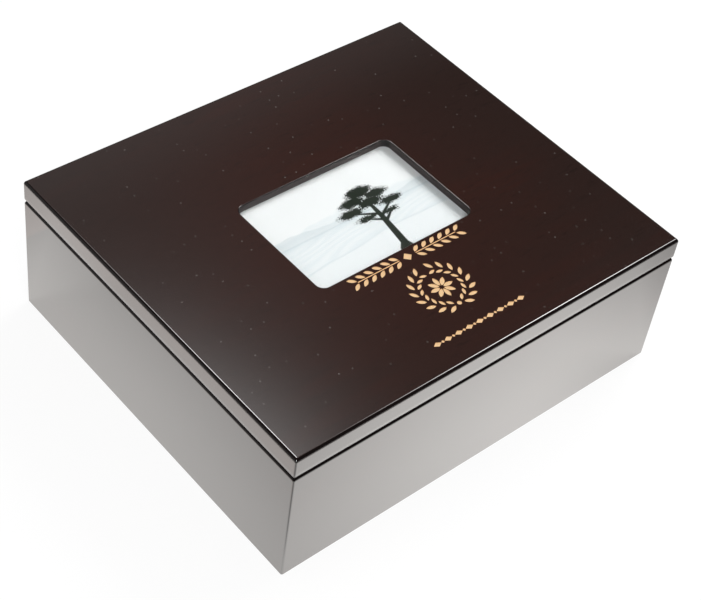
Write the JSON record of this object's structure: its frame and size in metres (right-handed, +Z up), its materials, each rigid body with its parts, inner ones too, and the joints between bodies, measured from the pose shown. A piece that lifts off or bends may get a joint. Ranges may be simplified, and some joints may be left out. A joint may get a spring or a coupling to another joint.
{
  "type": "keepsake box",
  "caption": "Low rectangular lacquered wooden keepsake box with a full-size hinged lid, a recessed photo window in the lid, an engraved ornament and a velvet lining.",
  "frame": {"origin": "centre of the underside, where the base felt meets the table", "axes": "+Z up; +X along the front edge to the right; -Y is the front, +Y the hinge side"},
  "size_m": [0.3034, 0.2669, 0.103],
  "materials": {
    "lacquered_wood": "polished dark espresso-mahogany lacquer, high gloss; the engraved ornament in the lid is filled pale tan",
    "plain_board": "fibreboard, painted matt black-brown",
    "felt": "black needle felt",
    "velvet": "short-pile black velvet over board",
    "bumper_rubber": "soft dark rubber",
    "brass": "polished brass",
    "glass": "clear float glass",
    "photo_paper": "satin photographic paper with a pale lake landscape"
  },
  "bodies": {
    "case": {"case_front": "lacquered_wood", "case_back": "lacquered_wood", "case_left": "lacquered_wood", "case_right": "lacquered_wood", "case_bottom": "plain_board", "base_felt": "felt", "lining_front": "velvet", "lining_back": "velvet", "lining_left": "velvet", "lining_right": "velvet", "lining_floor": "velvet", "lid_bumpers": "bumper_rubber", "hinge_case_leaf_left": "brass", "hinge_case_leaf_right": "brass", "hinge_pin_left": "brass", "hinge_pin_right": "brass", "hinge_case_screws": "brass"},
    "lid": {"lid_panel": "lacquered_wood", "lid_rail_front": "lacquered_wood", "lid_rail_back": "lacquered_wood", "lid_rail_left": "lacquered_wood", "lid_rail_right": "lacquered_wood", "pocket_strip_front": "lacquered_wood", "pocket_strip_back": "lacquered_wood", "pocket_strip_left": "lacquered_wood", "pocket_strip_right": "lacquered_wood", "photo_glass": "glass", "photo_print": "photo_paper", "backing_board": "plain_board", "lid_lining": "velvet", "hinge_lid_leaf_left": "brass", "hinge_lid_leaf_right": "brass", "hinge_lid_screws": "brass", "turn_button_screws": "brass"},
    "turn_button_front": {"turn_button_front": "brass"},
    "turn_button_back": {"turn_button_back": "brass"},
    "turn_button_left": {"turn_button_left": "brass"},
    "turn_button_right": {"turn_button_right": "brass"}
  },
  "joints": [
    {"name": "lid_hinge", "type": "hinge", "parent": "case", "child": "lid", "pos_m": [0, 0.13315, 0.08705], "axis": [-1, 0, 0], "range_deg": [0, 95]},
    {"name": "turn_button_front_swivel", "type": "hinge", "parent": "lid", "child": "turn_button_front", "pos_m": [0, -0.05035, 0.0921], "axis": [0, 0, 1], "continuous": true},
    {"name": "turn_button_back_swivel", "type": "hinge", "parent": "lid", "child": "turn_button_back", "pos_m": [0, 0.05035, 0.0921], "axis": [0, 0, 1], "continuous": true},
    {"name": "turn_button_left_swivel", "type": "hinge", "parent": "lid", "child": "turn_button_left", "pos_m": [-0.0694, 0, 0.0921], "axis": [0, 0, 1], "continuous": true},
    {"name": "turn_button_right_swivel", "type": "hinge", "parent": "lid", "child": "turn_button_right", "pos_m": [0.0694, 0, 0.0921], "axis": [0, 0, 1], "continuous": true}
  ]
}
